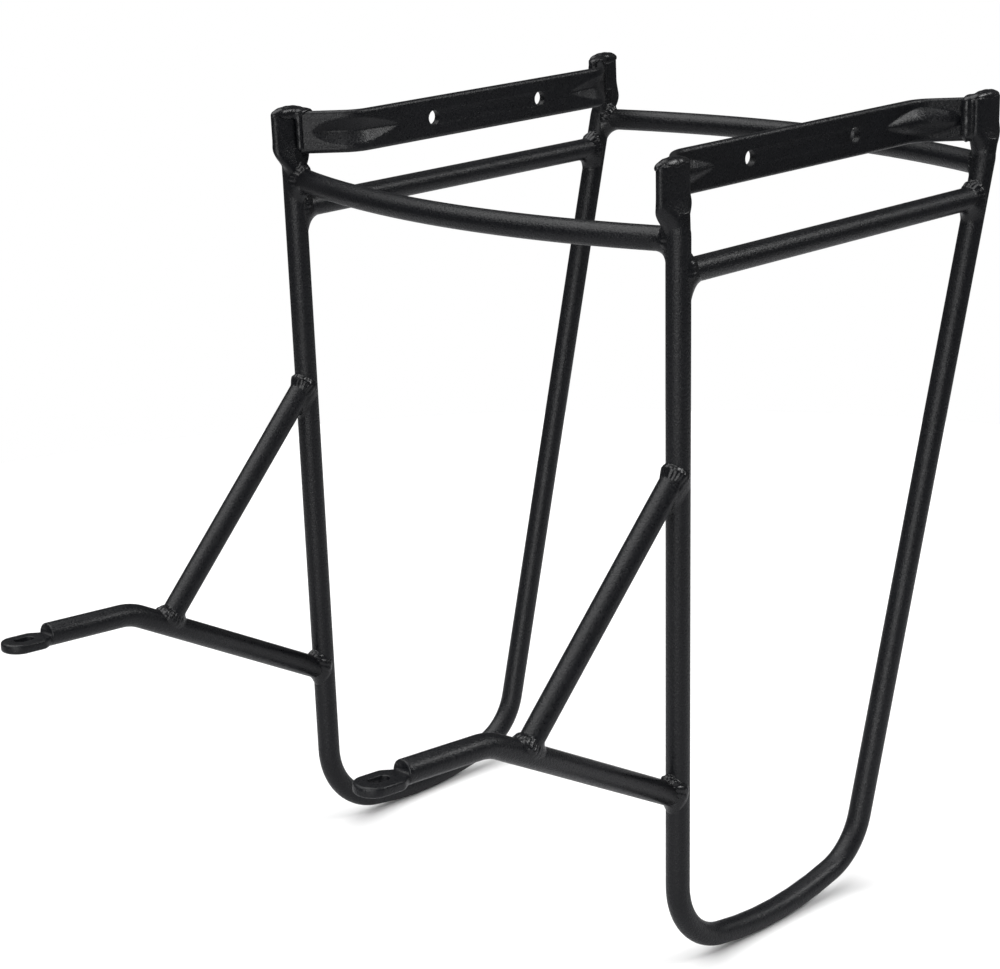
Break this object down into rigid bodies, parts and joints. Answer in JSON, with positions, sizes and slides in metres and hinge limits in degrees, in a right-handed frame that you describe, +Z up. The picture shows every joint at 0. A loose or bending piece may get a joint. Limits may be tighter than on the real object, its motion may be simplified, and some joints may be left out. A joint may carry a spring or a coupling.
{
  "type": "luggage rack frame",
  "caption": "Welded tube luggage rack frame in black powder coat, with side loops, flattened bolt plates, cross arcs and lower mounting struts.",
  "frame": {"origin": "middle of the bounding box, on the level of the lowest point of the two side loops", "axes": "+X to the right side frame, +Y to the rear, +Z up; the struts point along -Y"},
  "size_m": [0.2906, 0.4755, 0.4112],
  "materials": {
    "black_powder_coat": "satin black powder coat with a fine grain over steel tube",
    "coated_weld": "rippled weld beads under the same satin black coat"
  },
  "bodies": {
    "root": {"left_side_loop": "black_powder_coat", "right_side_loop": "black_powder_coat", "left_top_plate": "black_powder_coat", "right_top_plate": "black_powder_coat", "left_side_rail": "black_powder_coat", "right_side_rail": "black_powder_coat", "front_cross_arc": "black_powder_coat", "rear_cross_arc": "black_powder_coat", "left_lower_strut": "black_powder_coat", "right_lower_strut": "black_powder_coat", "left_brace": "black_powder_coat", "right_brace": "black_powder_coat", "left_front_plate_weld": "coated_weld", "left_rear_plate_weld": "coated_weld", "left_front_arc_weld": "coated_weld", "left_rear_arc_weld": "coated_weld", "left_front_rail_weld": "coated_weld", "left_rear_rail_weld": "coated_weld", "left_strut_weld": "coated_weld", "left_brace_top_weld": "coated_weld", "left_brace_foot_weld": "coated_weld", "right_front_plate_weld": "coated_weld", "right_rear_plate_weld": "coated_weld", "right_front_arc_weld": "coated_weld", "right_rear_arc_weld": "coated_weld", "right_front_rail_weld": "coated_weld", "right_rear_rail_weld": "coated_weld", "right_strut_weld": "coated_weld", "right_brace_top_weld": "coated_weld", "right_brace_foot_weld": "coated_weld"}
  },
  "joints": []
}
